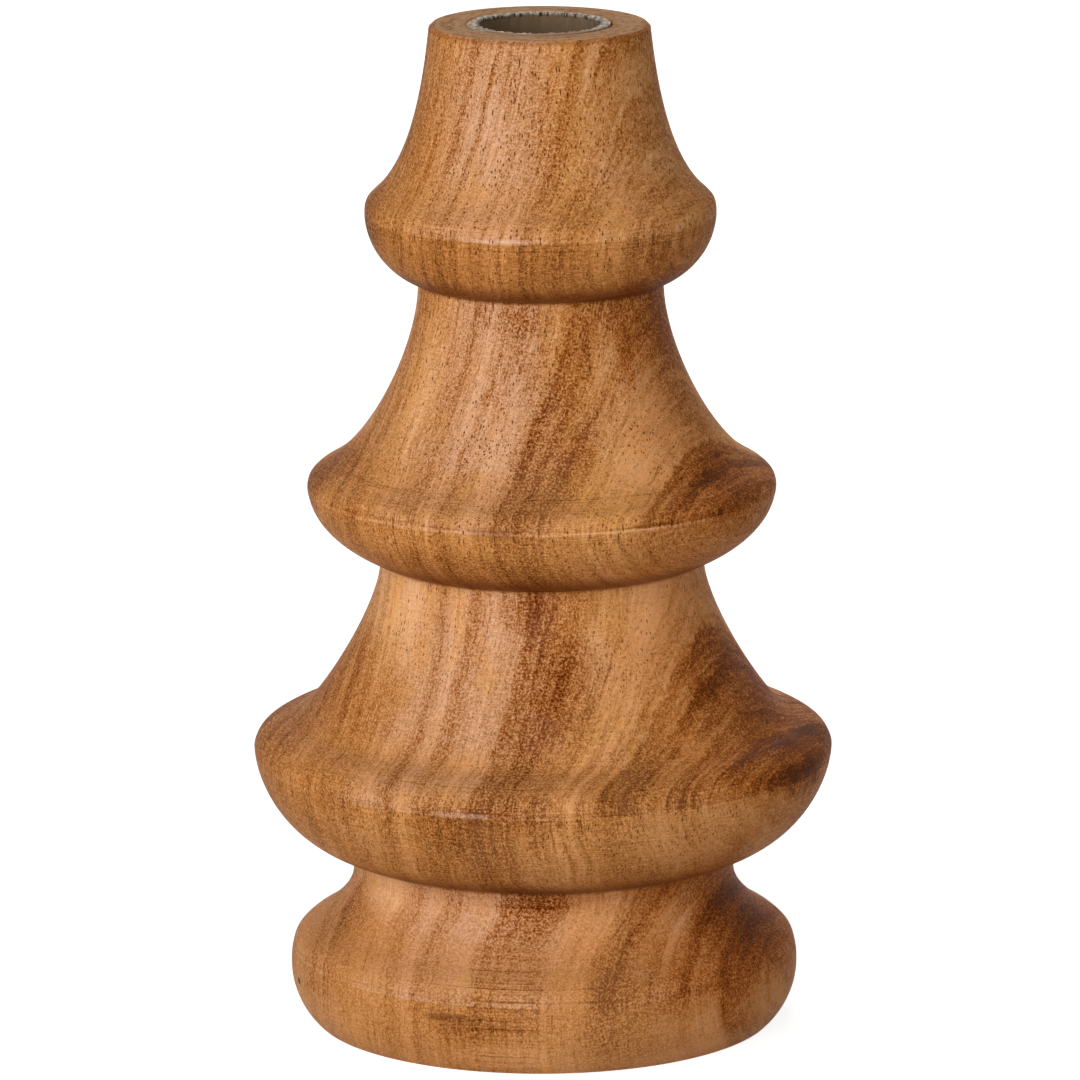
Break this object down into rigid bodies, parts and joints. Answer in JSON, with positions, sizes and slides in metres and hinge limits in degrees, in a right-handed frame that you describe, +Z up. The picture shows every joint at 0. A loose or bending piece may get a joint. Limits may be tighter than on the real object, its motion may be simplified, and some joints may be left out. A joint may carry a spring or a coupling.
{
  "type": "candle holder",
  "caption": "Turned wooden candle holder with a stack of flared, tree-like tiers over a round foot and a metal cup in its top for a taper candle.",
  "frame": {"origin": "centre of the flat base that the holder stands on", "axes": "+Z up along the turning axis, out of the mouth of the candle cup; the form is round, so X and Y are free, and the pictured side faces -Y"},
  "size_m": [0.1056, 0.1056, 0.1842],
  "materials": {
    "turned_wood": "satin oiled honey-brown hardwood with darker figure and fine open pores",
    "cup_wall": "dull grey steel tube, saw-cut at the rim",
    "cup_floor": "dull dark steel"
  },
  "bodies": {
    "root": {"turned_body": "turned_wood", "cup_sleeve": "cup_wall", "cup_floor": "cup_floor"}
  },
  "joints": []
}
